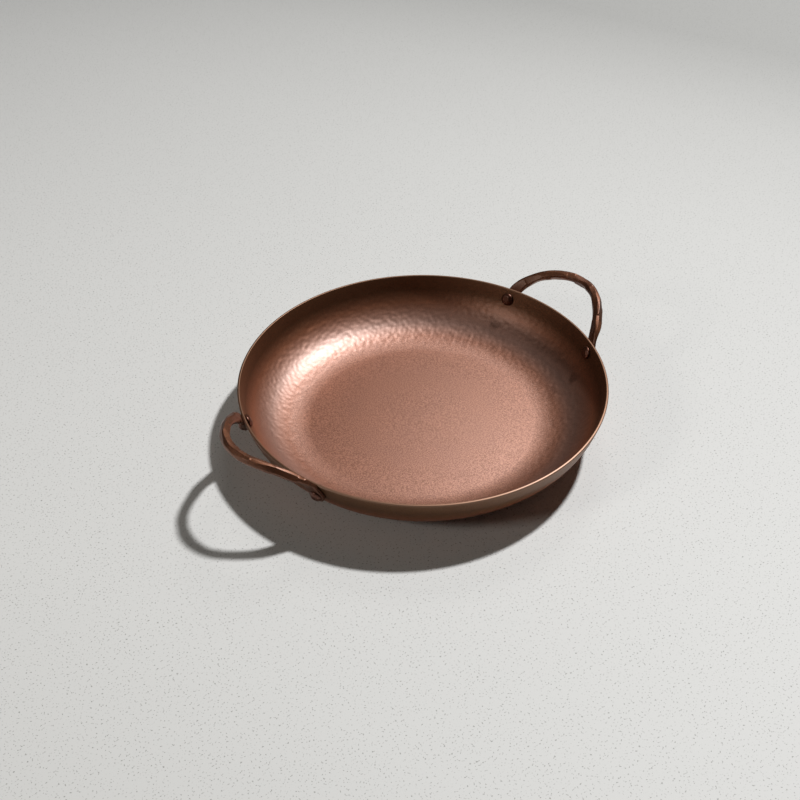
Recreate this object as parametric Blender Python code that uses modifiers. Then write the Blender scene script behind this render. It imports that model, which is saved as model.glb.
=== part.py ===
"""Round roaster: a shallow carbon steel pan with two forged loop handles, each held by two rivets.

The origin is the middle of the pan's underside, +Z is up and the handles point along X.
Lengths are metres, heights are measured from the surface that the pan stands on.
"""

import math

import bmesh
import bpy
from mathutils import Matrix, Vector

# Pan: a flat base, an arc that turns up from it, and a straight flare on to the rim
RIM_RADIUS = 0.178  # outside of the wall, at the rim
BASE_RADIUS = 0.118  # flat underside, out to where the arc begins
WALL_ROUND = 0.0585  # radius of the arc, on the outside
PAN_HEIGHT = 0.054  # underside to the outer edge of the rim
SHEET = 0.0025  # thickness of the steel sheet
RIM_ROUND = 0.0007  # rounding of the sheet's cut edge

# Handle: a square bar bent into a loop, with a flat tab hammered out at each end
HANDLE_REACH = 0.0364  # outermost point of the loop beyond the rim
HANDLE_RISE = 0.0265  # top of the loop above the rim
BAR_WIDTH = 0.0095  # across the bar, in the plane of the loop
BAR_THICKNESS = 0.0086  # through the bar, square to the loop
TAB_WIDTH = 0.0135
TAB_THICKNESS = 0.0038
TAB_LIP = 0.002  # tab that shows below the rivet's head
TAB_NECK = 0.0036  # straight tab above the rivet's head, before the bend
TAB_LEAN = math.radians(26)  # the tab leans towards the middle of the handle
LEG_PULL = 0.0285  # how far the leg keeps the tab's direction
CROWN_PULL = 0.0275  # how far the top of the loop keeps straight across
CROWN_TILT = math.radians(12)  # the bar's top face leans inwards there
WIDTH_TAPER = 0.032  # over which the tab narrows to the bar
THICKNESS_TAPER = 0.022  # over which it thickens to the bar
CORNER_SHARE = 0.33  # rounding of the bar's corners, as a share of its smaller side

# Rivet: one shank with a head worked at each end
RIVET_SPACING = 0.1205  # between the two rivets of a handle, in a straight line
RIVET_DROP = 0.011  # rivet below the rim
SHANK_RADIUS = 0.003
OUTER_HEAD_RADIUS = 0.0062
OUTER_HEAD_HEIGHT = 0.0034
INNER_HEAD_RADIUS = 0.0066
INNER_HEAD_HEIGHT = 0.0032

# Fits
CLEARANCE = 0.0003  # between any two pieces that touch
OVERRUN = 0.004  # a cutter runs this far past what it cuts
MERGE_DISTANCE = 0.00001

# Facets
PAN_STEPS = 96
WALL_STEPS = 10
FLARE_STEPS = 2
EDGE_SEGMENTS = 2
RIVET_STEPS = 24
DOME_STEPS = 5
TAB_END_STEPS = 5
LOOP_STEPS = 20
CORNER_STEPS = 3
TAB_END_START = math.radians(18)  # the round end starts here, so that it has a small flat
SMOOTH_ANGLE = math.radians(35)

# Seasoned steel, as linear colours
PAN_COLOUR = (0.235, 0.098, 0.058, 1.0)
HANDLE_COLOUR = (0.120, 0.050, 0.031, 1.0)
RIVET_COLOUR = (0.150, 0.062, 0.038, 1.0)
PAN_ROUGHNESS = 0.38
HANDLE_ROUGHNESS = 0.45
RIVET_ROUGHNESS = 0.40
STEEL_METALLIC = 1.0

UP = Vector((0, 0, 1))
CORNERS = ((1, 1), (-1, 1), (-1, -1), (1, -1))
SIDES = {"right": 0.0, "left": math.pi}
ENDS = {"front": -1, "back": 1}


def clear_scene():
    for thing in list(bpy.data.objects):
        bpy.data.objects.remove(thing, do_unlink=True)


def make_collection(name):
    group = bpy.data.collections.new(name)
    bpy.context.scene.collection.children.link(group)
    return group


def make_steel(name, colour, roughness):
    steel = bpy.data.materials.new(name)
    steel.use_nodes = True
    shader = steel.node_tree.nodes["Principled BSDF"]
    shader.inputs["Base Color"].default_value = colour
    shader.inputs["Metallic"].default_value = STEEL_METALLIC
    shader.inputs["Roughness"].default_value = roughness
    return steel


def place(name, mesh, group, steel):
    """Put an object of this mesh in a collection, with a steel of its own."""
    piece = bpy.data.objects.new(name, mesh)
    piece.data.materials.clear()
    piece.data.materials.append(steel)
    group.objects.link(piece)
    return piece


def profile_mesh(name, points):
    """Chain of edges in the XZ plane, for a Screw modifier to turn about Z."""
    outline = bmesh.new()
    corners = [outline.verts.new((radius, 0, height)) for radius, height in points]
    for upper, lower in zip(corners, corners[1:]):
        outline.edges.new((upper, lower))
    mesh = bpy.data.meshes.new(name)
    outline.to_mesh(mesh)
    outline.free()
    return mesh


def turn(piece, steps):
    """Turn the piece's profile once about its own Z axis."""
    screw = piece.modifiers.new("turned", "SCREW")
    screw.axis = "Z"
    screw.angle = math.tau
    screw.steps = steps
    screw.render_steps = steps
    screw.use_merge_vertices = True
    screw.merge_threshold = MERGE_DISTANCE
    screw.use_smooth_shade = True


def cut(piece, cutter):
    hole = piece.modifiers.new(cutter.name, "BOOLEAN")
    hole.operation = "DIFFERENCE"
    hole.solver = "EXACT"
    hole.object = cutter


def sagitta(radius, half_chord):
    """How far an arc of this radius bulges over a chord."""
    return radius - math.sqrt(radius ** 2 - min(half_chord, radius) ** 2)


# The wall, which the rivets and the handles take their places from


def wall_round():
    """Radius of the wall's arc, as far as there is room for it between the base and the rim.

    In a low wall the largest arc runs right up to the rim, and in a steep one it ends upright.
    """
    run = RIM_RADIUS - BASE_RADIUS
    if run > PAN_HEIGHT:
        return min(WALL_ROUND, (run ** 2 + PAN_HEIGHT ** 2) / (2 * PAN_HEIGHT))
    return min(WALL_ROUND, run)


def flare_slope():
    """Slope of the straight flare, which leaves the arc smoothly and ends at the rim."""
    radius = wall_round()
    run = RIM_RADIUS - BASE_RADIUS
    rise = PAN_HEIGHT - radius
    reach = math.hypot(run, rise)
    return math.atan2(run, -rise) - math.acos(min(radius / reach, 1))


def arc_point(slope):
    """Distance from the axis and height of the outside, where the arc has this slope."""
    radius = wall_round()
    return BASE_RADIUS + radius * math.sin(slope), radius * (1 - math.cos(slope))


def wall_at(height):
    """Distance from the axis and slope of the outside at this height."""
    slope = flare_slope()
    distance, arc_top = arc_point(slope)
    if height > arc_top:
        return distance + (height - arc_top) / math.tan(slope), slope
    slope = math.acos(1 - height / wall_round())
    return arc_point(slope)[0], slope


def rivet_seat(end):
    """Point on the outside of the wall under a rivet of the right handle, and its directions.

    They are outwards from the wall, up along it, and level away from the handle's middle.
    """
    height = PAN_HEIGHT - RIVET_DROP
    distance, slope = wall_at(height)
    turned = end * math.asin(RIVET_SPACING / 2 / distance)
    radial = Vector((math.cos(turned), math.sin(turned), 0))
    away = end * Vector((-math.sin(turned), math.cos(turned), 0))
    outwards = math.sin(slope) * radial - math.cos(slope) * UP
    upwards = math.cos(slope) * radial + math.sin(slope) * UP
    return distance * radial + height * UP, outwards, upwards, away


def rivet_matrix(side, end):
    """Place of a rivet: its own Z runs outwards through the wall and the tab."""
    point, outwards, upwards, _ = rivet_seat(ENDS[end])
    axes = Matrix((upwards, outwards.cross(upwards), outwards)).transposed().to_4x4()
    return Matrix.Rotation(SIDES[side], 4, "Z") @ Matrix.Translation(point) @ axes


# Pan


def build_pan(group, steel):
    """Outside of the pan, turned, and then thickened inwards to a sheet."""
    slope = flare_slope()
    _, arc_top = arc_point(slope)
    flare = [PAN_HEIGHT + (arc_top - PAN_HEIGHT) * step / FLARE_STEPS for step in range(FLARE_STEPS)]
    outline = [(wall_at(height)[0], height) for height in flare]
    outline += [arc_point(slope * step / WALL_STEPS) for step in range(WALL_STEPS, -1, -1)]
    outline.append((0, 0))
    pan = place("pan", profile_mesh("pan", outline), group, steel)
    turn(pan, PAN_STEPS)
    sheet = pan.modifiers.new("sheet", "SOLIDIFY")
    sheet.thickness = SHEET
    sheet.offset = -1
    sheet.use_even_offset = True
    rim = pan.modifiers.new("cut edge", "BEVEL")
    rim.width = RIM_ROUND
    rim.segments = EDGE_SEGMENTS
    rim.limit_method = "ANGLE"
    return pan


# Rivets


def outer_seat():
    """Where the outer head sits on the tab, from the outside of the wall."""
    return CLEARANCE + TAB_THICKNESS + CLEARANCE


def inner_seat():
    """Where the inner head sits, far enough in for its flat to clear the hollow wall.

    The wall comes inwards under the head's edges: round the pan, down the arc, and by its facets.
    """
    height = PAN_HEIGHT - RIVET_DROP
    distance, slope = wall_at(height)
    lower_edge = max(height - INNER_HEAD_RADIUS * math.sin(slope), 0)
    drop = height - lower_edge
    down_the_arc = (distance - wall_at(lower_edge)[0]) * math.sin(slope) - drop * math.cos(slope)
    round_the_pan = sagitta(distance - SHEET, INNER_HEAD_RADIUS)
    facets = (sagitta(RIM_RADIUS, RIM_RADIUS * math.pi / PAN_STEPS)
              + sagitta(WALL_ROUND, WALL_ROUND * flare_slope() / (2 * WALL_STEPS)))
    return SHEET + max(down_the_arc, 0) + round_the_pan + facets + CLEARANCE


def rivet_outline():
    """Half the rivet's outline, down from the top of the outer head."""
    turns = [step * math.pi / 2 / DOME_STEPS for step in range(DOME_STEPS + 1)]
    top = outer_seat()
    bottom = -inner_seat()
    outer = [(OUTER_HEAD_RADIUS * math.sin(a), top + OUTER_HEAD_HEIGHT * math.cos(a)) for a in turns]
    inner = [(INNER_HEAD_RADIUS * math.cos(a), bottom - INNER_HEAD_HEIGHT * math.sin(a)) for a in turns]
    outer[0] = (0, top + OUTER_HEAD_HEIGHT)
    inner[-1] = (0, bottom - INNER_HEAD_HEIGHT)
    return outer + [(SHANK_RADIUS, top), (SHANK_RADIUS, bottom)] + inner


def build_rivet(name, matrix, group, steel):
    rivet = place(name, profile_mesh(name, rivet_outline()), group, steel)
    rivet.matrix_world = matrix
    turn(rivet, RIVET_STEPS)
    return rivet


def build_hole_cutter(name, matrix, group):
    """Cylinder that clears the shank and runs through the wall and the tab."""
    top = outer_seat() + OVERRUN
    bottom = inner_seat() + OVERRUN
    shape = bmesh.new()
    bmesh.ops.create_cone(
        shape, cap_ends=True, segments=RIVET_STEPS, depth=top + bottom,
        radius1=SHANK_RADIUS + CLEARANCE, radius2=SHANK_RADIUS + CLEARANCE,
        matrix=Matrix.Translation((0, 0, (top - bottom) / 2)))
    mesh = bpy.data.meshes.new(name)
    shape.to_mesh(mesh)
    shape.free()
    cutter = bpy.data.objects.new(name, mesh)
    cutter.matrix_world = matrix
    cutter.hide_render = True
    cutter.display_type = "WIRE"
    group.objects.link(cutter)
    return cutter


# Handles


def loop_curve(start, leg_pull, crown_pull, finish, share):
    """Point and direction on the cubic curve from the tab to the top of the loop."""
    rest = 1 - share
    point = (rest ** 3 * start + 3 * rest ** 2 * share * leg_pull
             + 3 * rest * share ** 2 * crown_pull + share ** 3 * finish)
    direction = (rest ** 2 * (leg_pull - start) + 2 * rest * share * (crown_pull - leg_pull)
                 + share ** 2 * (finish - crown_pull))
    return point, direction.normalized()


def ease(share):
    """Smooth rise from 0 to 1."""
    share = min(max(share, 0), 1)
    return share * share * (3 - 2 * share)


def bar_section(centre, across, face, width, thickness):
    """Corners of one section of the bar: a rectangle with rounded corners."""
    rounding = CORNER_SHARE * min(width, thickness)
    ring = []
    for corner, (right, top) in enumerate(CORNERS):
        for step in range(CORNER_STEPS + 1):
            angle = (corner + step / CORNER_STEPS) * math.pi / 2
            side = right * (width / 2 - rounding) + rounding * math.cos(angle)
            lift = top * (thickness / 2 - rounding) + rounding * math.sin(angle)
            ring.append(centre + across * side + face * lift)
    return ring


def half_handle_sections():
    """Sections from the lower end of a tab to the top of the loop, on the +Y side.

    The route is the line that the pan's side of the tab and the top face of the bar share.
    """
    point, outwards, upwards, away = rivet_seat(1)
    along = math.cos(TAB_LEAN) * upwards - math.sin(TAB_LEAN) * away
    inwards = -outwards
    on_rivet = point + CLEARANCE * outwards
    head_room = OUTER_HEAD_RADIUS + CLEARANCE
    tab_end = on_rivet - (head_room + TAB_LIP) * along
    end_radius = TAB_WIDTH / 2
    sections = []

    def add(place_on_route, direction, face, width, thickness):
        face = (face - face.dot(direction) * direction).normalized()
        centre = place_on_route - face * thickness / 2
        sections.append(bar_section(centre, direction.cross(face), face, width, thickness))

    for step in range(TAB_END_STEPS + 1):
        angle = TAB_END_START + (math.pi / 2 - TAB_END_START) * step / TAB_END_STEPS
        spot = tab_end + end_radius * (1 - math.cos(angle)) * along
        add(spot, along, inwards, TAB_WIDTH * math.sin(angle), TAB_THICKNESS)

    start = on_rivet + (head_room + TAB_NECK) * along
    finish = Vector((RIM_RADIUS + HANDLE_REACH - BAR_WIDTH / 2, 0, PAN_HEIGHT + HANDLE_RISE))
    leg_pull = start + LEG_PULL * along
    crown_pull = finish + Vector((0, CROWN_PULL, 0))
    crown_face = Vector((-math.sin(CROWN_TILT), 0, math.cos(CROWN_TILT)))
    travelled = 0
    last = start
    for step in range(LOOP_STEPS + 1):
        share = step / LOOP_STEPS
        spot, direction = loop_curve(start, leg_pull, crown_pull, finish, share)
        travelled += (spot - last).length
        last = spot
        width = TAB_WIDTH + (BAR_WIDTH - TAB_WIDTH) * ease(travelled / WIDTH_TAPER)
        thickness = TAB_THICKNESS + (BAR_THICKNESS - TAB_THICKNESS) * ease(travelled / THICKNESS_TAPER)
        add(spot, direction, inwards.lerp(crown_face, share), width, thickness)
    return sections


def handle_mesh(name):
    """Half a handle, lofted from its sections and left open where the other half joins it."""
    half = bmesh.new()
    rings = [[half.verts.new(corner) for corner in section] for section in half_handle_sections()]
    for corner in rings[-1]:
        corner.co.y = 0
    count = len(rings[0])
    for lower, upper in zip(rings, rings[1:]):
        for here in range(count):
            beside = (here + 1) % count
            half.faces.new((lower[here], lower[beside], upper[beside], upper[here]))
    half.faces.new(list(reversed(rings[0])))
    bmesh.ops.recalc_face_normals(half, faces=half.faces)
    mesh = bpy.data.meshes.new(name)
    half.to_mesh(mesh)
    half.free()
    mesh.shade_smooth()
    mesh.set_sharp_from_angle(angle=SMOOTH_ANGLE)
    return mesh


def build_handle(name, turned, group, steel, cutters):
    handle = place(name, handle_mesh(name), group, steel)
    handle.rotation_euler.z = turned
    other_half = handle.modifiers.new("other half", "MIRROR")
    other_half.use_axis = (False, True, False)
    other_half.use_mirror_merge = True
    other_half.merge_threshold = MERGE_DISTANCE
    for cutter in cutters:
        cut(handle, cutter)
    return handle


def build_roaster():
    clear_scene()
    parts = make_collection("round_roaster")
    cutting = make_collection("cutters")
    pan = build_pan(parts, make_steel("pan_steel", PAN_COLOUR, PAN_ROUGHNESS))
    for side, turned in SIDES.items():
        holes = []
        for end in ENDS:
            name = f"rivet_{side}_{end}"
            matrix = rivet_matrix(side, end)
            steel = make_steel(f"{name}_steel", RIVET_COLOUR, RIVET_ROUGHNESS)
            build_rivet(name, matrix, parts, steel)
            holes.append(build_hole_cutter(f"{side}_{end}_hole", matrix, cutting))
        for cutter in holes:
            cut(pan, cutter)
        name = f"handle_{side}"
        steel = make_steel(f"{name}_steel", HANDLE_COLOUR, HANDLE_ROUGHNESS)
        build_handle(name, turned, parts, steel, holes)


build_roaster()
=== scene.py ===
# %% [markdown]
# # A round roaster in seasoned steel
#
# The real pan is pressed from one round steel sheet. Its floor stays smooth, its curved wall is
# planished all over with a small hammer, and it is then seasoned: oil is baked on until the steel
# turns the brown of old copper. Two loop handles are forged from square bar, with flat ends that
# are riveted to the wall. That makes seven pieces: one pan, two handles and four rivets.
#
# This lesson loads the plain solids of those pieces, models each of them again with its hammer
# marks, and gives them steel that looks as if it had been in the fire.

# %% Load the plain solids
import math
import random

import bmesh
import bpy
from mathutils import Matrix, Vector, kdtree, noise


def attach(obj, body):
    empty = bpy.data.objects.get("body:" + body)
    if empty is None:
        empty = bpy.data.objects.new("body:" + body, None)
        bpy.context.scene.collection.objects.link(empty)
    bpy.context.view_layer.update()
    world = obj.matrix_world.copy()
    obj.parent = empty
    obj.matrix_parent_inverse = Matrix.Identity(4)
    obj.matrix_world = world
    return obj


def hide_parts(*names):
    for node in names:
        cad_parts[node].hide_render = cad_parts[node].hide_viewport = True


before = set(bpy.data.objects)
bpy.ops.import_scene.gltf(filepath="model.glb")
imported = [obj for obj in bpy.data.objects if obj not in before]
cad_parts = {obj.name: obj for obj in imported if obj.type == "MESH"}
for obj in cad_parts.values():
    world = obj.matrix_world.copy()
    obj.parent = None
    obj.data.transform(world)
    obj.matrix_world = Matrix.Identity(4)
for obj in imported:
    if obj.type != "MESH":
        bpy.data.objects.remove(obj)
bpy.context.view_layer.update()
MM = 0.001
print("solids:", sorted(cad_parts))

# %% [markdown]
# ## The camera
#
# A product photographer stands over the pan with a long lens, so that the round rim is only a
# little flattened. The lens and the place of the camera are the ones that turn the real rim into
# the ellipse that the photograph shows. The pan's handles point along X in every view.

# %% Camera
CAMERA_PLACE = (-0.5837, -0.7366, 0.7961)
CAMERA_TURN = (50.668, 0.488, -37.460)  # degrees
SENSOR_WIDTH = 36.0
FOCAL_LENGTH = 55.96

camera_data = bpy.data.cameras.new("camera")
camera_data.sensor_width = SENSOR_WIDTH
camera_data.lens = FOCAL_LENGTH
camera = bpy.data.objects.new("camera", camera_data)
camera.location = CAMERA_PLACE
camera.rotation_euler = [math.radians(angle) for angle in CAMERA_TURN]
bpy.context.scene.collection.objects.link(camera)
bpy.context.scene.camera = camera
print("camera is", round(camera.location.length, 3), "m from the pan's middle")

# %% [markdown]
# ## One function for colours and one for nodes
#
# Colours are picked as the hex values of a paint chart, which are meant for a screen. Blender
# mixes light in linear values, so one function turns the one into the other. A second function
# adds a shader node, sets what is given as a setting, and links or fills its inputs.

# %% Colour and node helpers
LINEAR_LIMIT = 0.04045


def colour(hex_code):
    """Linear colour of an sRGB hex code such as 8B5C48."""
    channels = [int(hex_code[start:start + 2], 16) / 255 for start in (0, 2, 4)]
    linear = [c / 12.92 if c <= LINEAR_LIMIT else ((c + 0.055) / 1.055) ** 2.4 for c in channels]
    return (*linear, 1.0)


def add_node(tree, kind, settings=None, inputs=None):
    """Add a node. An input that is a socket is linked, and any other is its value."""
    node = tree.nodes.new(kind)
    for name, value in (settings or {}).items():
        setattr(node, name, value)
    for name, value in (inputs or {}).items():
        if isinstance(value, bpy.types.NodeSocket):
            tree.links.new(value, node.inputs[name])
        else:
            node.inputs[name].default_value = value
    return node


def new_material(name):
    """A material with an empty tree, its output, and its Object coordinates."""
    material = bpy.data.materials.new(name)
    material.use_nodes = True
    tree = material.node_tree
    tree.nodes.clear()
    place = add_node(tree, "ShaderNodeTexCoord").outputs["Object"]
    return material, tree, place


def colour_steps(tree, factor, stops):
    """A colour ramp over a factor, from (position, hex code) pairs."""
    ramp = add_node(tree, "ShaderNodeValToRGB", inputs={"Fac": factor})
    elements = ramp.color_ramp.elements
    while len(elements) < len(stops):
        elements.new(0.5)
    for element, (position, hex_code) in zip(elements, stops):
        element.position = position
        element.color = colour(hex_code)
    return ramp.outputs["Color"]


print("old copper, linear:", [round(value, 3) for value in colour("8B5C48")])

# %% [markdown]
# ## The studio
#
# The pan stands on a plain pale floor. Nearly all the light comes from one small lamp high over
# the right handle: it draws the hard-edged shadow, the broad white patch on the wall opposite and
# the bright lines along the handles. A soft panel across from it fills the shadow and lifts the
# wall that the lamp leaves in the dark. A faint one behind the pan gives the soft sheen on the
# wall near the right handle. The room itself is dark, so that the walls of the pan have something
# dark to mirror, and only the camera sees a pale backdrop in its place.
#
# The floor's paint gets a little darker towards the far right, under the lamp: painted shade,
# which evens out the light on it. Its fine specks are a noise texture: only the lowest values are
# drawn, so that they come out as separate dots.

# %% Floor, lamps and room
FLOOR_RADIUS = 8.0
FLOOR_DROP = 0.1 * MM  # keeps the floor from sharing a plane with the pan's underside
KEY_PLACE = (1.53, 0.065, 2.462)
KEY_POWER = 303.0
KEY_RADIUS = 0.1
SIDE_PLACE = (-1.86, 0.24, 1.1)
SIDE_POWER = 6.5
SIDE_SIZE = 0.45
GLOSS_PLACE = (1.17, 0.982, 1.583)
GLOSS_POWER = 3.0
GLOSS_SIZE = 0.6
PAN_MIDDLE = Vector((0, 0, 0.03))
AWAY = (1.10, 0.41, 0.0)  # along the floor, to the far right
FLECK = 1.7 * MM  # size of the noise that the specks are cut from


def add_lamp(name, kind, place, power, tone, size):
    """A lamp that looks at the pan: a round panel, or a small ball of light."""
    data = bpy.data.lights.new(name, kind)
    data.energy = power
    data.color = colour(tone)[:3]
    if kind == "AREA":
        data.shape = "DISK"
        data.size = size
    else:
        data.shadow_soft_size = size
    lamp = bpy.data.objects.new(name, data)
    lamp.location = place
    lamp.rotation_euler = (Vector(place) - PAN_MIDDLE).to_track_quat("Z", "Y").to_euler()
    bpy.context.scene.collection.objects.link(lamp)


add_lamp("key_lamp", "POINT", KEY_PLACE, KEY_POWER, "FFFFFF", KEY_RADIUS)
add_lamp("side_panel", "AREA", SIDE_PLACE, SIDE_POWER, "FFFAF2", SIDE_SIZE)
add_lamp("gloss_panel", "AREA", GLOSS_PLACE, GLOSS_POWER, "FFFCF6", GLOSS_SIZE)

ROOM_TONE = "FFFCF5"
ROOM_STRENGTH = 0.017
BACKDROP_TONE = "CFCFCC"
world = bpy.data.worlds.new("room")
world.use_nodes = True
tree = world.node_tree
room = tree.nodes["Background"]
room.inputs["Color"].default_value = colour(ROOM_TONE)
room.inputs["Strength"].default_value = ROOM_STRENGTH
backdrop = add_node(tree, "ShaderNodeBackground", inputs={"Color": colour(BACKDROP_TONE)})
seen = add_node(tree, "ShaderNodeLightPath").outputs["Is Camera Ray"]
choice = add_node(tree, "ShaderNodeMixShader", inputs={
    0: seen, 1: room.outputs[0], 2: backdrop.outputs[0]})
tree.links.new(choice.outputs[0], tree.nodes["World Output"].inputs["Surface"])
bpy.context.scene.world = world

floor_shape = bmesh.new()
bmesh.ops.create_circle(floor_shape, cap_ends=True, segments=64, radius=FLOOR_RADIUS,
                        matrix=Matrix.Translation((0, 0, -FLOOR_DROP)))
floor_mesh = bpy.data.meshes.new("floor")
floor_shape.to_mesh(floor_mesh)
floor_shape.free()
floor = bpy.data.objects.new("floor", floor_mesh)
bpy.context.scene.collection.objects.link(floor)

floor_paint, tree, place = new_material("pale_floor_paint")
depth = add_node(tree, "ShaderNodeVectorMath", {"operation": "DOT_PRODUCT"}, {
    "Vector": place}).outputs["Value"]
depth.node.inputs[1].default_value = AWAY
reach = add_node(tree, "ShaderNodeMapRange", inputs={
    "Value": depth, "From Min": -0.4, "From Max": 1.2}).outputs["Result"]
# painted shade: the paint darkens towards the far right, where the lamp is near, to even out its light
tone = colour_steps(tree, reach, ((0.0, "EDEDEB"), (0.25, "E4E4E2"), (0.6, "D2D2D0"),
                                 (0.8, "C3C3C1"), (1.0, "AAAAA8")))
fleck = add_node(tree, "ShaderNodeTexNoise", inputs={
    "Vector": place, "Scale": 1 / FLECK, "Detail": 1.0})
fleck_tone = colour_steps(tree, fleck.outputs["Fac"], ((0.29, "C4C4C2"), (0.37, "FFFFFF")))
blend = add_node(tree, "ShaderNodeMix", {"data_type": "RGBA", "blend_type": "MULTIPLY"}, {
    "Factor": 1.0})
tree.links.new(tone, blend.inputs["A"])
tree.links.new(fleck_tone, blend.inputs["B"])
tint = blend.outputs["Result"]
paint = add_node(tree, "ShaderNodeBsdfPrincipled",
                 inputs={"Base Color": tint, "Roughness": 0.6})
add_node(tree, "ShaderNodeOutputMaterial", inputs={"Surface": paint.outputs["BSDF"]})
floor_mesh.materials.append(floor_paint)

scene = bpy.context.scene
scene.view_settings.view_transform = "Standard"

# %% [markdown]
# ## The sizes of the pan
#
# Seen from the side, the outside of the pan is a flat base, a wide arc that leaves it very
# gently, a tighter arc, and a short straight flare to the rim. The gentle start shows in the
# photograph: the light on the floor begins to change well inside the curve of the wall. The arcs
# and the flare meet without a kink, so the radius of the tighter arc and the length of the flare
# follow from the rest: together they have to cover what is left to the rim, across and up. Those
# are two equations. The base bows up a little in the middle, which is a guess from the way the
# light changes over the floor, and meets the first arc at an angle of just over one degree. The
# rim is a hair smaller than the plain solid's, so that the hammered wall stays in its box.

# %% Pan sizes
RIM_RADIUS = 177.95 * MM
BASE_RADIUS = 110 * MM
PAN_HEIGHT = 54 * MM
SHEET = 2.5 * MM
FOOT_ROUND = 78.5 * MM
FOOT_SLOPE = math.radians(25)
FLARE_SLOPE = math.radians(72.187)
CROWN_HEIGHT = 1.2 * MM  # by which the flat base bows up in the middle
RIM_ROUND = 0.75 * MM
CLEARANCE = 0.3 * MM
UP = Vector((0, 0, 1))


def outwards_at(slope):
    """Direction square to the wall, away from the food, where the wall has this slope."""
    return Vector((math.sin(slope), 0, -math.cos(slope)))


foot_middle = Vector((BASE_RADIUS, 0, FOOT_ROUND))
foot_end = foot_middle + FOOT_ROUND * outwards_at(FOOT_SLOPE)
rim_corner = Vector((RIM_RADIUS, 0, PAN_HEIGHT))
flare_out = outwards_at(FLARE_SLOPE)
flare_up = Vector((math.cos(FLARE_SLOPE), 0, math.sin(FLARE_SLOPE)))
per_round = flare_out - outwards_at(FOOT_SLOPE)
shares = Matrix(((per_round.x, flare_up.x), (per_round.z, flare_up.z)))
wall_round, flare_length = shares.inverted() @ (rim_corner - foot_end).xz
wall_middle = foot_end - wall_round * outwards_at(FOOT_SLOPE)
print("the tighter arc has a radius of", round(wall_round / MM, 1), "mm and the flare is",
      round(flare_length / MM, 1), "mm long")

# %% [markdown]
# ## The blank of the pan
#
# A turned shape is drawn as half an outline and spun about the axis. The outline can be drawn
# with the same two moves that a draughtsman uses: run straight to a point, or bend about a centre.
# Extruding the last vertex makes the first and spinning it makes the second. The outline goes all
# round the sheet, out along the underside, over the rim and back along the inside, so the spin
# gives a closed skin with a true rim. Its rings lie about 1.4 mm apart where the hammer will fall.

# %% Pan blank
MERGE_DISTANCE = 0.001 * MM
RING_GAP = 1.4 * MM
PAN_STEPS = 600
ROUND_STEPS = 3
BASE_STEPS = 8
FLOOR_STEPS = 8


def run_to(outline, tip, point, steps):
    """Extrude the outline's last vertex to a point, in equal steps."""
    start = tip.co.copy()
    for step in range(1, steps + 1):
        tip = bmesh.ops.extrude_vert_indiv(outline, verts=[tip])["verts"][0]
        tip.co = start.lerp(point, step / steps)
    return tip


def bend(outline, tip, middle, angle, steps):
    """Spin the outline's last vertex about a middle, from below towards +X."""
    swept = bmesh.ops.spin(outline, geom=[tip], cent=middle, axis=(0, -1, 0), dvec=(0, 0, 0),
                           angle=angle, steps=steps, use_merge=False, use_duplicate=False)
    return swept["geom_last"][0]


def turn(outline, steps):
    """Spin a finished outline about Z, close the seam and the poles, and face it outwards."""
    bmesh.ops.spin(outline, geom=outline.verts[:] + outline.edges[:], cent=(0, 0, 0),
                   axis=(0, 0, 1), dvec=(0, 0, 0), angle=math.tau, steps=steps,
                   use_merge=True, use_duplicate=False)
    bmesh.ops.remove_doubles(outline, verts=outline.verts, dist=MERGE_DISTANCE)
    bmesh.ops.recalc_face_normals(outline, faces=outline.faces)


def pan_blank():
    """The smooth pan: its half outline, drawn from the middle of the base and spun."""
    foot_steps = round(FOOT_ROUND * FOOT_SLOPE / RING_GAP)
    wall_steps = round(wall_round * (FLARE_SLOPE - FOOT_SLOPE) / RING_GAP)
    flare_steps = round(flare_length / RING_GAP)
    inner_side = rim_corner - SHEET * flare_out
    flare_start = wall_middle + (wall_round - SHEET) * flare_out
    outline = bmesh.new()
    tip = outline.verts.new((0, 0, 0))
    tip = run_to(outline, tip, Vector((BASE_RADIUS, 0, 0)), BASE_STEPS)
    tip = bend(outline, tip, foot_middle, FOOT_SLOPE, foot_steps)
    tip = bend(outline, tip, wall_middle, FLARE_SLOPE - FOOT_SLOPE, wall_steps)
    tip = run_to(outline, tip, rim_corner - RIM_ROUND * flare_up, flare_steps)
    tip = bend(outline, tip, rim_corner - RIM_ROUND * (flare_up + flare_out), math.pi / 2, ROUND_STEPS)
    tip = run_to(outline, tip, inner_side + RIM_ROUND * flare_out, 1)
    tip = bend(outline, tip, inner_side + RIM_ROUND * (flare_out - flare_up), math.pi / 2, ROUND_STEPS)
    tip = run_to(outline, tip, flare_start, flare_steps)
    tip = bend(outline, tip, wall_middle, FOOT_SLOPE - FLARE_SLOPE, wall_steps)
    tip = bend(outline, tip, foot_middle, -FOOT_SLOPE, foot_steps)
    run_to(outline, tip, Vector((0, 0, SHEET)), FLOOR_STEPS)
    turn(outline, PAN_STEPS)
    return outline


def raise_crown(shape):
    """Bow the base up a little towards its middle."""
    for vert in shape.verts:
        share = math.hypot(vert.co.x, vert.co.y) / BASE_RADIUS
        if share < 1:
            vert.co.z += CROWN_HEIGHT * (1 - share * share)


pan_shape = pan_blank()
raise_crown(pan_shape)
print("pan blank:", len(pan_shape.verts), "vertices")
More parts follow.
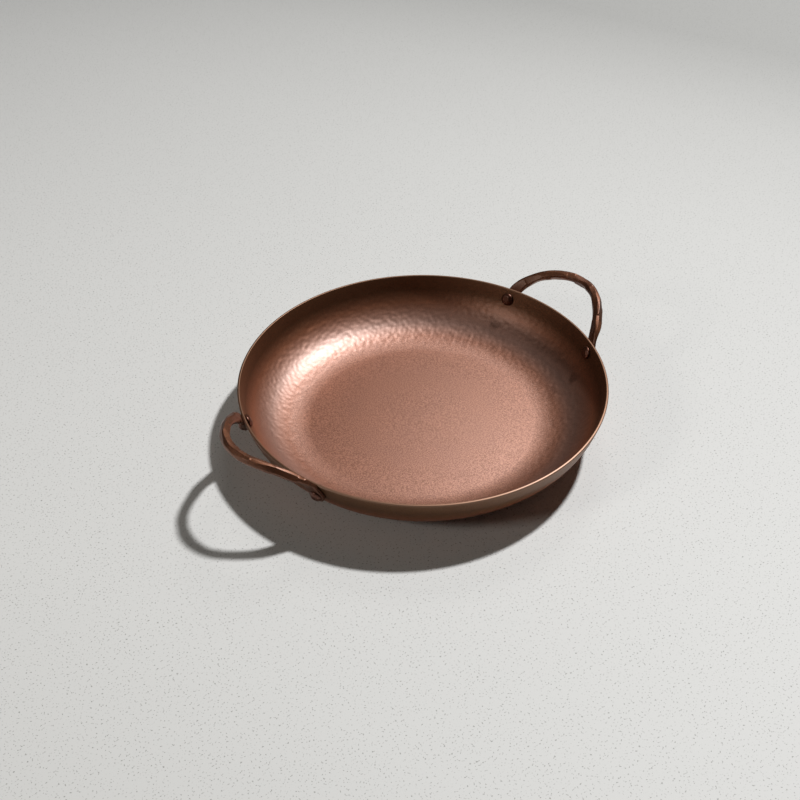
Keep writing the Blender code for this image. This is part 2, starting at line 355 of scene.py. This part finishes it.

# %% [markdown]
# ## Planishing the wall
#
# A planishing hammer leaves a shallow round dent at each blow, here about 7 mm across and 4.3 mm
# from the next, in rows that follow the wall round. Where two dents meet, a soft ridge is left.
# The size and depth are chosen from the photograph. A noise texture can't give
# those ridges, so every blow gets a place: rows up the middle of the sheet, each blow a little off
# its spot. A vertex then sinks by what the deepest blow near it takes. The sheet keeps its
# thickness, because both of its faces move together, and the marks fade out on the smooth floor
# and at the rim. The depth is also kept on the mesh, for the painted shade that darkens the
# hollows of the marks.

# %% Hammer marks
random.seed(7)
MARK_GAP = 4.3 * MM
MARK_RADIUS = 3.6 * MM
MARK_DEPTH = 0.43 * MM
MARK_START = 4 * MM  # the first row, up the wall from the floor
MARK_BEGIN = 26 * MM  # over which the marks grow to their full depth
MARK_END = 18 * MM  # in which they end below the rim
NEAR_MARKS = 4
WAVE_LENGTH = 45 * MM
WAVE_HEIGHT = 0.12 * MM
foot_line = FOOT_ROUND - SHEET / 2
wall_line = wall_round - SHEET / 2
foot_length = foot_line * FOOT_SLOPE
arc_length = foot_length + wall_line * (FLARE_SLOPE - FOOT_SLOPE)
wall_length = arc_length + flare_length


def sheet_spot(travel):
    """Place of the sheet's middle, this far up the wall from the floor, on the +X side."""
    if travel < foot_length:
        return foot_middle + foot_line * outwards_at(travel / foot_line)
    slope = min(FOOT_SLOPE + (travel - foot_length) / wall_line, FLARE_SLOPE)
    return wall_middle + wall_line * outwards_at(slope) + max(travel - arc_length, 0) * flare_up


def slope_of(flat):
    """Slope of the wall at a place on the +X side."""
    slope = math.atan2(flat.x - foot_middle.x, foot_middle.z - flat.z)
    if slope > FOOT_SLOPE:
        slope = math.atan2(flat.x - wall_middle.x, wall_middle.z - flat.z)
    return min(max(slope, 0), FLARE_SLOPE)


def travel_of(slope):
    """How far up the arcs this slope is reached."""
    beyond = max(slope - FOOT_SLOPE, 0)
    return foot_line * min(slope, FOOT_SLOPE) + wall_line * beyond


def fade(travel):
    """How strongly the hammer falls, this far up the wall: 0 on the floor and at the rim."""
    start = (travel - MARK_START) / MARK_BEGIN
    end = (wall_length - travel) / MARK_END
    share = min(max(min(start, end), 0), 1)
    return share * share * (3 - 2 * share)


def strike_wall():
    """Every hammer mark as (place, depth), row by row."""
    marks = []
    travel = MARK_START
    row = 0
    while travel < wall_length:
        count = round(math.tau * sheet_spot(travel).x / MARK_GAP)
        for blow in range(count):
            angle = (blow + row % 2 / 2 + random.uniform(-0.3, 0.3)) * math.tau / count
            spot = travel + random.uniform(-0.3, 0.3) * MARK_GAP
            flat = sheet_spot(spot)
            place = Vector((flat.x * math.cos(angle), flat.x * math.sin(angle), flat.z))
            marks.append((place, MARK_DEPTH * random.uniform(0.5, 1.0) * fade(spot)))
        travel += MARK_GAP * math.sqrt(3) / 2
        row += 1
    return marks


def planish(shape, marks):
    """Sink the wall's vertices under the marks, and keep the depth on each as a share."""
    tree = kdtree.KDTree(len(marks))
    for index, (place, _) in enumerate(marks):
        tree.insert(place, index)
    tree.balance()
    dent = shape.verts.layers.float.new("dent")
    for vert in shape.verts:
        radius = math.hypot(vert.co.x, vert.co.y)
        slope = slope_of(Vector((radius, 0, vert.co.z)))
        if slope <= 0:
            continue
        out = outwards_at(slope)
        inwards = -Vector((vert.co.x / radius * out.x, vert.co.y / radius * out.x, out.z))
        depth = 0
        for place, index, distance in tree.find_n(vert.co, NEAR_MARKS):
            level = max(distance ** 2 - (SHEET / 2) ** 2, 0)
            depth = max(depth, marks[index][1] * (1 - level / MARK_RADIUS ** 2))
        wave = WAVE_HEIGHT * noise.noise(vert.co / WAVE_LENGTH) * fade(travel_of(slope))
        vert[dent] = depth / MARK_DEPTH
        vert.co -= (depth + wave) * inwards
        vert.co.z = max(vert.co.z, 0)


marks = strike_wall()
planish(pan_shape, marks)
print("the wall took", len(marks), "blows")

# %% [markdown]
# ## The worn rim
#
# The sheet's cut edge is the place that spoons, lids and cloths rub bright. The mesh keeps how
# worn each vertex is, from 1 on the edge to 0 a little below it, so that the material can show
# another tone there and nowhere else. It also keeps which vertices lie on the outer face, because
# the two sides of the sheet look different. That is worked out from the sheet's middle line and
# not from the normals, which waver between the dents.

# %% Rim wear
WEAR_DEPTH = 0.8 * MM


def mark_rim(shape):
    """Keep how worn each vertex is by how near it lies to the sheet's cut edge."""
    worn = shape.verts.layers.float.new("worn")
    for vert in shape.verts:
        flat = Vector((math.hypot(vert.co.x, vert.co.y), 0, vert.co.z))
        below = (rim_corner - flat).dot(flare_up)
        if flat.x > BASE_RADIUS:
            vert[worn] = min(max(1 - below / WEAR_DEPTH, 0), 1)


def mark_outside(shape):
    """Keep which vertices lie beyond the middle of the sheet: 1 there, 0 on the food's side."""
    outside = shape.verts.layers.float.new("outside")
    for vert in shape.verts:
        flat = Vector((math.hypot(vert.co.x, vert.co.y), 0, vert.co.z))
        slope = slope_of(flat)
        middle = sheet_spot(travel_of(slope))
        vert[outside] = float((flat - middle).dot(outwards_at(slope)) > 0)


mark_rim(pan_shape)
mark_outside(pan_shape)


def make_piece(name, shape):
    """Turn a bmesh into a smooth-shaded object that stays at the origin."""
    mesh = bpy.data.meshes.new(name)
    shape.to_mesh(mesh)
    shape.free()
    mesh.shade_smooth()
    piece = bpy.data.objects.new(name, mesh)
    bpy.context.scene.collection.objects.link(piece)
    return piece


pan = make_piece("hammered_pan", pan_shape)
print("pan faces:", len(pan.data.polygons))

# %% [markdown]
# ## Where the rivets go
#
# Each handle is held by two rivets, 120.5 mm apart and 11 mm below the rim. A rivet stands square
# to the wall, so its place is a matrix: its own Z runs outwards, and its X points up the wall.
# The other three rivets are the same place mirrored or turned, so that one function serves all.

# %% Rivet places
RIVET_SPACING = 120.5 * MM
RIVET_DROP = 11 * MM
SIDES = {"right": 0.0, "left": math.pi}
ENDS = {"front": -1, "back": 1}


def wall_at(height):
    """Distance from the axis and slope of the pan's outside at this height, on the flare."""
    below = (PAN_HEIGHT - height) / math.tan(FLARE_SLOPE)
    return RIM_RADIUS - below, FLARE_SLOPE


def rivet_seat(end):
    """Point on the wall under a rivet of the right handle; outwards, up the wall, and aside."""
    height = PAN_HEIGHT - RIVET_DROP
    distance, slope = wall_at(height)
    angle = end * math.asin(RIVET_SPACING / 2 / distance)
    radial = Vector((math.cos(angle), math.sin(angle), 0))
    aside = end * Vector((-math.sin(angle), math.cos(angle), 0))
    outwards = math.sin(slope) * radial - math.cos(slope) * UP
    upwards = math.cos(slope) * radial + math.sin(slope) * UP
    return distance * radial + height * UP, outwards, upwards, aside


def rivet_matrix(side, end):
    """Where a rivet stands: its Z runs outwards from the wall and its X up the wall."""
    point, outwards, upwards, _ = rivet_seat(ENDS[end])
    axes = Matrix((upwards, outwards.cross(upwards), outwards)).transposed().to_4x4()
    return Matrix.Rotation(SIDES[side], 4, "Z") @ Matrix.Translation(point) @ axes


for side in SIDES:
    for end in ENDS:
        print(side, end, [round(value / MM, 1) for value in rivet_matrix(side, end).translation])

# %% [markdown]
# ## A hammer blow on solid steel
#
# The heads of the rivets and the bars of the handles are shaped by the same thing: a hammer face
# that comes down and flattens whatever stands proud of it. In code that is one short function: a
# vertex that lies above the hammer's face is pressed back on to it.

# %% Hammer blow
def strike(verts, middle, direction, reach):
    """Press the vertices back to a face that lies this far out from the middle."""
    for vert in verts:
        proud = (vert.co - middle).dot(direction) - reach
        if proud > 0:
            vert.co -= direction * proud


# %% [markdown]
# ## The rivets
#
# A rivet is one shank with a head at each end, closed by hand, so its heads are low domes with a
# few flats where the hammer landed. The outline runs from the top of the outer head down to the
# tip of the inner one. Each dome starts as a quarter circle that is squeezed to its real height.

# %% Rivets
SHANK_RADIUS = 3.0 * MM
OUTER_HEAD = (6.2 * MM, 3.4 * MM)  # radius and height
INNER_HEAD = (6.6 * MM, 3.2 * MM)
OUTER_SEAT = 4.4 * MM  # from the wall's outside to the outer head, through the tab
INNER_SEAT = 3.28 * MM  # from the wall's outside in to the inner head
RIVET_STEPS = 56
DOME_STEPS = 14
HEAD_BLOWS = 5
BLOW_TILT = (0.45, 0.75)  # radians that the blows round the dome lean from the rivet's axis


def dome(outline, tip, radius, height, level, turn_by):
    """A quarter circle about the axis at this level, squeezed to the head's height."""
    before = set(outline.verts)
    end = bend(outline, tip, Vector((0, 0, level)), turn_by, DOME_STEPS)
    arc = [vert for vert in outline.verts if vert not in before or vert is tip]
    bmesh.ops.scale(outline, vec=(1, 1, height / radius), verts=arc,
                    space=Matrix.Translation((0, 0, -level)))
    return end


def flatten_head(shape, radius, height, level, way):
    """Hammer one flat on top of a head and a ring of flats round it."""
    verts = [vert for vert in shape.verts if (vert.co.z - level) * way > MERGE_DISTANCE]
    middle = Vector((0, 0, level))
    first = random.uniform(0, math.tau)
    strike(verts, middle, Vector((random.uniform(-0.12, 0.12), random.uniform(-0.12, 0.12), way))
           .normalized(), height * random.uniform(0.84, 0.90))
    for blow in range(HEAD_BLOWS):
        angle = first + (blow + random.uniform(-0.25, 0.25)) * math.tau / HEAD_BLOWS
        tilt = random.uniform(*BLOW_TILT)
        direction = Vector((math.cos(angle) * math.sin(tilt), math.sin(angle) * math.sin(tilt),
                            way * math.cos(tilt)))
        crown = math.hypot(radius * math.sin(tilt), height * math.cos(tilt))
        strike(verts, middle, direction, crown * random.uniform(0.89, 0.96))


def forge_rivet(name, matrix):
    """One rivet: its half outline spun, its two heads struck, and all of it set in its hole."""
    outline = bmesh.new()
    tip = outline.verts.new((0, 0, OUTER_SEAT + OUTER_HEAD[0]))
    tip = dome(outline, tip, *OUTER_HEAD, OUTER_SEAT, -math.pi / 2)
    tip = run_to(outline, tip, Vector((SHANK_RADIUS, 0, OUTER_SEAT)), 3)
    tip = run_to(outline, tip, Vector((SHANK_RADIUS, 0, -INNER_SEAT)), 5)
    tip = run_to(outline, tip, Vector((INNER_HEAD[0], 0, -INNER_SEAT)), 3)
    dome(outline, tip, *INNER_HEAD, -INNER_SEAT, -math.pi / 2)
    turn(outline, RIVET_STEPS)
    flatten_head(outline, *OUTER_HEAD, OUTER_SEAT, 1)
    flatten_head(outline, *INNER_HEAD, -INNER_SEAT, -1)
    bmesh.ops.transform(outline, matrix=matrix, verts=outline.verts)
    return make_piece(name, outline)


rivets = {}
for side in SIDES:
    for end in ENDS:
        rivets[side, end] = forge_rivet(f"peened_rivet_{side}_{end}", rivet_matrix(side, end))
print("rivets:", len(rivets), "with", len(rivets["right", "back"].data.polygons), "faces each")

# %% [markdown]
# ## The route of a handle
#
# A handle starts as a flat tab against the wall, bends away from it and comes round in a loop to
# the second tab. The line that the pan's side of the tab shares with the top face of the bar is
# easy to follow in the photograph, so the route is drawn along it: straight up the tab, then
# one curve to the top of the loop. At every station of the route the bar has a direction, a face
# that looks at the pan or up, a width and a thickness. The second half is the first one mirrored.
# The reach and the rise are a hair smaller than the plain solid's, to leave room for the blows.

# %% Handle stations
HANDLE_REACH = 36.35 * MM
HANDLE_RISE = 26.4 * MM
BAR_WIDTH = 9.5 * MM
BAR_THICKNESS = 8.6 * MM
TAB_WIDTH = 13.5 * MM
TAB_THICKNESS = 3.8 * MM
TAB_LIP = 2.0 * MM
TAB_NECK = 3.6 * MM
TAB_LEAN = math.radians(26)
LEG_PULL = 28.5 * MM
CROWN_PULL = 27.5 * MM
CROWN_TILT = math.radians(12)
WIDTH_TAPER = 32 * MM
THICKNESS_TAPER = 22 * MM
STATION_GAP = 0.75 * MM
TAB_END_STEPS = 9
TAB_END_START = math.radians(18)


def ease(share):
    """Smooth rise from 0 to 1."""
    share = min(max(share, 0), 1)
    return share * share * (3 - 2 * share)


def station(spot, direction, face, width, thickness):
    """One place along the bar: its middle, its three directions and its two sizes."""
    face = (face - face.dot(direction) * direction).normalized()
    return {"middle": spot - face * thickness / 2, "along": direction, "face": face,
            "across": direction.cross(face), "width": width, "thickness": thickness}


def half_route():
    """Stations from the lower end of the back tab to the top of the loop."""
    point, outwards, upwards, aside = rivet_seat(1)
    along = math.cos(TAB_LEAN) * upwards - math.sin(TAB_LEAN) * aside
    inwards = -outwards
    on_rivet = point + CLEARANCE * outwards
    head_room = OUTER_HEAD[0] + CLEARANCE
    tab_end = on_rivet - (head_room + TAB_LIP) * along
    stations = []
    for step in range(TAB_END_STEPS + 1):
        angle = TAB_END_START + (math.pi / 2 - TAB_END_START) * step / TAB_END_STEPS
        spot = tab_end + TAB_WIDTH / 2 * (1 - math.cos(angle)) * along
        stations.append(station(spot, along, inwards, TAB_WIDTH * math.sin(angle), TAB_THICKNESS))
    start = on_rivet + (head_room + TAB_NECK) * along
    straight = (start - tab_end).length - TAB_WIDTH / 2
    steps = round(straight / STATION_GAP)
    for step in range(1, steps):
        spot = start - straight * (1 - step / steps) * along
        stations.append(station(spot, along, inwards, TAB_WIDTH, TAB_THICKNESS))
    finish = Vector((RIM_RADIUS + HANDLE_REACH - BAR_WIDTH / 2, 0, PAN_HEIGHT + HANDLE_RISE))
    leg, crown = start + LEG_PULL * along, finish + Vector((0, CROWN_PULL, 0))
    crown_face = Vector((-math.sin(CROWN_TILT), 0, math.cos(CROWN_TILT)))
    steps = round((finish - start).length * 1.25 / STATION_GAP)
    travelled = 0
    last = start
    for step in range(steps + 1):
        share = step / steps
        rest = 1 - share
        spot = (rest ** 3 * start + 3 * rest ** 2 * share * leg
                + 3 * rest * share ** 2 * crown + share ** 3 * finish)
        direction = (rest ** 2 * (leg - start) + 2 * rest * share * (crown - leg)
                     + share ** 2 * (finish - crown)).normalized()
        travelled += (spot - last).length
        last = spot
        width = TAB_WIDTH + (BAR_WIDTH - TAB_WIDTH) * ease(travelled / WIDTH_TAPER)
        thickness = TAB_THICKNESS + (BAR_THICKNESS - TAB_THICKNESS) * ease(travelled / THICKNESS_TAPER)
        stations.append(station(spot, direction, inwards.lerp(crown_face, share), width, thickness))
    return stations


def full_route():
    """The half route and then its mirror image, run backwards down to the front tab."""
    half = half_route()
    flip = Matrix.Diagonal((1, -1, 1))
    other = []
    for spot in reversed(half[:-1]):
        other.append({"middle": flip @ spot["middle"], "along": -(flip @ spot["along"]),
                      "face": flip @ spot["face"], "across": flip @ spot["across"],
                      "width": spot["width"], "thickness": spot["thickness"]})
    return half + other


route = full_route()
bar_length = sum((b["middle"] - a["middle"]).length for a, b in zip(route, route[1:]))
print("each handle takes", round(bar_length / MM), "mm of bar, in", len(route), "stations")

# %% [markdown]
# ## Drawing the bar
#
# The bar is a face that is extruded from station to station, as steel is drawn out on the anvil.
# Every new face takes the shape of its own section: a rectangle with rounded corners, which grows
# from the flat tab to the almost square bar.

# %% Drawn bar
CORNER_SHARE = 0.20  # rounding of the corners, as a share of the smaller side
CORNER_POINTS = 5
SIDE_POINTS = 8
CORNERS = ((1, 1), (-1, 1), (-1, -1), (1, -1))


def section(spot):
    """Points of the bar's outline at a station, round its middle."""
    rounding = CORNER_SHARE * min(spot["width"], spot["thickness"])
    ring = []
    for corner, (right, top) in enumerate(CORNERS):
        for step in range(CORNER_POINTS):
            angle = (corner + step / (CORNER_POINTS - 1)) * math.pi / 2
            side = right * (spot["width"] / 2 - rounding) + rounding * math.cos(angle)
            lift = top * (spot["thickness"] / 2 - rounding) + rounding * math.sin(angle)
            ring.append(spot["middle"] + spot["across"] * side + spot["face"] * lift)
    full = []
    for index, corner in enumerate(ring):
        full.append(corner)
        if index % CORNER_POINTS == CORNER_POINTS - 1:
            beside = ring[(index + 1) % len(ring)]
            full += [corner.lerp(beside, step / (SIDE_POINTS + 1)) for step in range(1, SIDE_POINTS + 1)]
    return full


def draw_bar(stations):
    """Extrude one face along the stations, and return the shape and its rings of vertices."""
    shape = bmesh.new()
    points = len(section(stations[0]))
    bmesh.ops.create_circle(shape, cap_ends=True, segments=points, radius=BAR_WIDTH)
    shape.faces.ensure_lookup_table()
    face = shape.faces[0]
    rings = []
    for index, spot in enumerate(stations):
        if index:
            face = bmesh.ops.extrude_discrete_faces(shape, faces=[face])["faces"][0]
        for vert, corner in zip(face.verts, section(spot)):
            vert.co = corner
        rings.append(list(face.verts))
    open_end = [edge for edge in shape.edges if edge.is_boundary]
    bmesh.ops.holes_fill(shape, edges=open_end, sides=0)
    bmesh.ops.recalc_face_normals(shape, faces=shape.faces)
    return shape, rings


# %% [markdown]
# ## Forging the handles
#
# The smith leaves the bar rough: every 5 to 10 mm blows have flattened its sides and corners,
# no two alike. The hammer's face is slightly domed, so each flat is a shallow hollow that runs out
# towards its ends, and each blow leans a little. All of that is measured along the bar's own
# curve, so the loop stays as smooth as it was bent. The tabs are left flat where they lie on the
# wall, and only their outer faces get a few light blows. Both handles come from the same route
# with their own blows, so they are brothers and not copies.

# %% Forged handles
random.seed(3)  # so that the handles don't change when the pan's blows do
HAMMER_DOME = 220 * MM  # radius of the hammer's face, along the bar
BLOW_REACH = 22  # stations to each side that a blow may touch
BLOW_GAP = (5.0 * MM, 10.0 * MM)
SIDE_BITE = (0.05 * MM, 0.55 * MM)
CORNER_BITE = (0.25 * MM, 1.25 * MM)
LEAN = 0.07
TWIST = 0.26
TAB_BITE = (0.0, 0.15 * MM)


def forge(rings, stations):
    """Strike the bar all round, from one tab to the other."""
    index = TAB_END_STEPS
    while index < len(stations) - TAB_END_STEPS:
        flat = stations[index]["thickness"] < TAB_THICKNESS * 1.2
        for side in range(8):
            if flat and side != 6:
                continue
            bite = random.uniform(*(TAB_BITE if flat else CORNER_BITE if side % 2 else SIDE_BITE))
            angle = side * math.pi / 4 + random.uniform(-TWIST, TWIST)
            lean = random.uniform(-LEAN, LEAN)
            for near in range(max(index - BLOW_REACH, 0), min(index + BLOW_REACH + 1, len(stations))):
                spot = stations[near]
                right, top = abs(math.cos(angle)), abs(math.sin(angle))
                rounding = CORNER_SHARE * min(spot["width"], spot["thickness"])
                surface = (right * (spot["width"] / 2 - rounding)
                           + top * (spot["thickness"] / 2 - rounding) + rounding)
                travel = (near - index) * STATION_GAP
                face = surface - bite + lean * travel + travel ** 2 / (2 * HAMMER_DOME)
                direction = math.cos(angle) * spot["across"] + math.sin(angle) * spot["face"]
                strike(rings[near], spot["middle"], direction, face)
        index += round(random.uniform(*BLOW_GAP) / STATION_GAP)


def forge_handle(name, side):
    """A handle with its own blows, turned to its side of the pan."""
    shape, rings = draw_bar(route)
    forge(rings, route)
    bmesh.ops.rotate(shape, cent=(0, 0, 0), matrix=Matrix.Rotation(SIDES[side], 3, "Z"),
                     verts=shape.verts)
    return make_piece(name, shape)


handles = {side: forge_handle(f"forged_handle_{side}", side) for side in SIDES}
for side, handle in handles.items():
    print(handle.name, "has", len(handle.data.polygons), "faces")

# %% [markdown]
# ## Drilling
#
# The rivets' shanks run through the wall and the tabs, so both are drilled, a little wider than
# the shank. A Boolean modifier cuts the holes. Its result is kept as the mesh and the drill is
# thrown away, because nothing that cuts belongs to the finished pan.

# %% Rivet holes
DRILL_LENGTH = 30 * MM
DRILL_SEGMENTS = 32


def drill(piece, places):
    """Cut a hole for a rivet's shank at each place, and make the cut mesh the piece's own."""
    shape = bmesh.new()
    for matrix in places:
        bmesh.ops.create_cone(shape, cap_ends=True, segments=DRILL_SEGMENTS, depth=DRILL_LENGTH,
                              radius1=SHANK_RADIUS + CLEARANCE, radius2=SHANK_RADIUS + CLEARANCE,
                              matrix=matrix)
    mesh = bpy.data.meshes.new("drill")
    shape.to_mesh(mesh)
    shape.free()
    bit = bpy.data.objects.new("drill", mesh)
    bpy.context.scene.collection.objects.link(bit)
    cut = piece.modifiers.new("rivet holes", "BOOLEAN")
    cut.operation = "DIFFERENCE"
    cut.solver = "MANIFOLD"
    cut.object = bit
    view = bpy.context.evaluated_depsgraph_get()
    drilled = bpy.data.meshes.new_from_object(piece.evaluated_get(view), preserve_all_data_layers=True,
                                              depsgraph=view)
    piece.modifiers.clear()
    piece.data = drilled
    bpy.data.objects.remove(bit)
    bpy.data.meshes.remove(mesh)


drill(pan, [rivet_matrix(side, end) for side in SIDES for end in ENDS])
for side, handle in handles.items():
    drill(handle, [rivet_matrix(side, end) for end in ENDS])
print("pan faces after drilling:", len(pan.data.polygons), [a.name for a in pan.data.attributes])

# %% [markdown]
# ## Seasoned steel
#
# Under the brown is bare carbon steel; over it lies a thin film of oil that was baked until it set
# hard. The film tints what the metal mirrors, so the shader is a metal with a copper-brown colour,
# and its hard skin is a clear coat with a smoother, colourless gloss. The grain of the rolled and
# blasted sheet shows as fine glitter. It is really finer than the picture can show, so it is drawn
# as coarse as it needs to be seen. All three steels of the pan are made this way, so one function
# builds what they share and hands back its tree for what they don't.

# %% Steel under a baked film
GRAIN = 1.3 * MM  # really about 0.2 mm
SPECK = 1.1 * MM
BLOTCH = 40 * MM


def mix_colours(tree, factor, one, other, blend="MIX"):
    """Blend two colours, either of which may be a socket."""
    mix = add_node(tree, "ShaderNodeMix", {"data_type": "RGBA", "blend_type": blend})
    for socket, value in ((mix.inputs[0], factor), (mix.inputs[6], one), (mix.inputs[7], other)):
        if isinstance(value, bpy.types.NodeSocket):
            tree.links.new(value, socket)
        else:
            socket.default_value = value
    return mix.outputs[2]


def seasoned_steel(name, tones, roughness, grain_strength, grain_height):
    """Steel under a baked film of oil, from a dark, a middle and a light tone of the film."""
    material, tree, place = new_material(name)
    blotch = add_node(tree, "ShaderNodeTexNoise", inputs={
        "Vector": place, "Scale": 1 / BLOTCH, "Detail": 4.0, "Roughness": 0.6})
    film = colour_steps(tree, blotch.outputs["Fac"], list(zip((0.30, 0.50, 0.72), tones)))
    speck = add_node(tree, "ShaderNodeTexNoise", inputs={
        "Vector": place, "Scale": 1 / SPECK, "Detail": 2.0, "Roughness": 0.7})
    speck_tone = colour_steps(tree, speck.outputs["Fac"], ((0.40, "7A7A7A"), (0.60, "FFFFFF")))
    grain = add_node(tree, "ShaderNodeTexNoise", inputs={
        "Vector": place, "Scale": 1 / GRAIN, "Detail": 3.0, "Roughness": 0.6})
    bump = add_node(tree, "ShaderNodeBump", inputs={
        "Height": grain.outputs["Fac"], "Distance": grain_height, "Strength": grain_strength})
    rough = add_node(tree, "ShaderNodeMapRange", inputs={
        "Value": blotch.outputs["Fac"], "From Min": 0.3, "From Max": 0.7,
        "To Min": roughness - 0.01, "To Max": roughness + 0.01})
    steel = add_node(tree, "ShaderNodeBsdfPrincipled", inputs={
        "Base Color": mix_colours(tree, 0.5, film, speck_tone, "MULTIPLY"),
        "Roughness": rough.outputs["Result"], "Normal": bump.outputs["Normal"], "Metallic": 1.0})
    add_node(tree, "ShaderNodeOutputMaterial", inputs={"Surface": steel.outputs["BSDF"]})
    return material, tree, steel


def dress(piece, material):
    """Give the whole piece this one material."""
    piece.data.materials.clear()
    piece.data.materials.append(material)


# %% [markdown]
# ## The steel of the pan
#
# The pan's film changes from place to place. Its colour and its gloss both follow the height on
# the wall, each by its own ramp: the top of the wall is darker and duller than the floor. The
# colour ramp is partly the film's own tone and partly painted light: greyer at the height of the
# broad highlight, and darker towards the rim, where the wall lies in shade. The grain of the
# floor fades to a third of its strength by 9 mm of height, where the hammer has closed it, and its
# dark specks dull the gloss as well as the colour. The hollows of the hammer marks are painted a
# little darker than the ridges between them, as painted shade. On the cut edge of the sheet the
# film is rubbed thin and plain brown. The outer face is smoother and less glossy. The last three
# are read from what was kept on the mesh. The colours were matched by measuring the render
# against the photograph.

# %% Pan steel
GRAIN_END = 9 * MM  # height at which the hammer has smoothed most of the grain
# film colours with painted light in them (greyer at the highlight's height, darker in the shade near the
# rim), and strengths of the gloss, each at a share of the pan's height
FILM_AND_PAINTED_LIGHT = ((0.07, "B46C43"), (0.12, "AC6B49"), (0.24, "9F6B52"), (0.36, "AA7053"),
        (0.52, "B36E43"), (0.74, "7D5535"), (1.00, "855F40"))
GLOSS = ((0.07, "FFFFFF"), (0.11, "D6D6D6"), (0.20, "E6E6E6"), (0.30, "DCDCDC"),
         (0.50, "B5B5B5"), (0.74, "737373"))
# painted shade of the hammer marks: the ridges stay light and the hollows are darker
RIDGE_TONE = "FFF4EC"
HOLLOW_SHADE_TONE = "D8D0CC"
BARE_EDGE = "936E57"
OUTER_GLOSS = "8C8C8C"
FLOOR_GRAIN = 0.6  # strength of the grain and its specks on the floor
WALL_GRAIN = 0.2  # and above GRAIN_END
FLOOR_HAZE = 0.4  # roughness of the glossy skin on the floor
WALL_HAZE = 0.46
OUTER_HAZE = 0.34
SKIN_IOR = 2.6  # higher than an oil's, because the photograph's gloss is as strong as this
pan_steel, tree, steel = seasoned_steel("seasoned_carbon_steel", ("F4EEEA", "FAF8F6", "FFFFFF"),
                                        0.55, 0.6, 0.1 * MM)
# two of the shared nodes are found again through their links
speckle = steel.inputs["Base Color"].links[0].from_node
grain_bump = steel.inputs["Normal"].links[0].from_node
height = add_node(tree, "ShaderNodeSeparateXYZ", inputs={
    "Vector": add_node(tree, "ShaderNodeTexCoord").outputs["Object"]}).outputs["Z"]
up_wall = add_node(tree, "ShaderNodeMapRange", inputs={
    "Value": height, "From Max": PAN_HEIGHT}).outputs["Result"]
grain_left = add_node(tree, "ShaderNodeMapRange", inputs={
    "Value": height, "From Min": SHEET + CROWN_HEIGHT, "From Max": GRAIN_END,
    "To Min": FLOOR_GRAIN, "To Max": WALL_GRAIN}).outputs["Result"]
tree.links.new(grain_left, speckle.inputs[0])
tree.links.new(grain_left, grain_bump.inputs["Strength"])
dent = add_node(tree, "ShaderNodeAttribute", {"attribute_name": "dent"}).outputs["Fac"]
worn = add_node(tree, "ShaderNodeAttribute", {"attribute_name": "worn"}).outputs["Fac"]
# painted shade: the hollows of the hammer marks come out darker than the ridges
hollow = colour_steps(tree, dent, ((0.0, RIDGE_TONE), (0.5, HOLLOW_SHADE_TONE)))
# painted light: the film's colour by height is greyer where the broad highlight lies and darker in the
# shade near the rim
film = mix_colours(tree, 1.0, speckle.outputs[2], colour_steps(tree, up_wall, FILM_AND_PAINTED_LIGHT), "MULTIPLY")
film = mix_colours(tree, 0.4, film, hollow, "MULTIPLY")
film = mix_colours(tree, worn, film, colour(BARE_EDGE))
tree.links.new(film, steel.inputs["Base Color"])
outside = add_node(tree, "ShaderNodeAttribute", {"attribute_name": "outside"}).outputs["Fac"]
gloss = mix_colours(tree, outside, colour_steps(tree, up_wall, GLOSS), colour(OUTER_GLOSS))
specks = speckle.inputs[7].links[0].from_socket
gloss = mix_colours(tree, grain_left, gloss, specks, "MULTIPLY")
tree.links.new(gloss, steel.inputs["Coat Weight"])
inner_haze = add_node(tree, "ShaderNodeMapRange", inputs={
    "Value": height, "From Min": SHEET + CROWN_HEIGHT, "From Max": GRAIN_END,
    "To Min": FLOOR_HAZE, "To Max": WALL_HAZE}).outputs["Result"]
haze = add_node(tree, "ShaderNodeMapRange", inputs={
    "Value": outside, "To Min": inner_haze, "To Max": OUTER_HAZE}).outputs["Result"]
tree.links.new(haze, steel.inputs["Coat Roughness"])
steel.inputs["Coat IOR"].default_value = SKIN_IOR
dress(pan, pan_steel)
print("the pan's shader has", len(tree.nodes), "nodes")

# %% [markdown]
# ## The steel of the handles and the rivets
#
# The handles were forged hot and oiled while they cooled: a little darker than the pan, and more
# glossy where the hammer closed the surface. The rivets took their oil last of all.

# %% Handle and rivet steel
handle_steel, _, steel = seasoned_steel("forged_handle_steel", ("6A3A21", "7A482B", "8D5837"),
                                        0.54, 0.25, 0.1 * MM)
steel.inputs["Coat Weight"].default_value = 0.7
steel.inputs["Coat Roughness"].default_value = 0.4
steel.inputs["Coat IOR"].default_value = 1.6
for handle in handles.values():
    dress(handle, handle_steel)

rivet_steel, _, steel = seasoned_steel("peened_rivet_steel", ("623827", "714330", "80513D"),
                                       0.5, 0.2, 0.1 * MM)
steel.inputs["Coat Weight"].default_value = 0.5
steel.inputs["Coat Roughness"].default_value = 0.32
steel.inputs["Coat IOR"].default_value = 1.6
for rivet in rivets.values():
    dress(rivet, rivet_steel)

# %% [markdown]
# ## Handing over
#
# Every new piece stands for one plain solid, which is hidden, and rides on the one body that the
# pan has.

# %% Hand over the pieces
stands_for = {pan: ("pan", "pan_steel")}
for side, handle in handles.items():
    stands_for[handle] = (f"handle_{side}", "handle_steel")
for (side, end), rivet in rivets.items():
    stands_for[rivet] = (f"rivet_{side}_{end}", "rivet_steel")
for piece, (node, slot) in stands_for.items():
    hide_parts(node)
    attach(piece, "root")
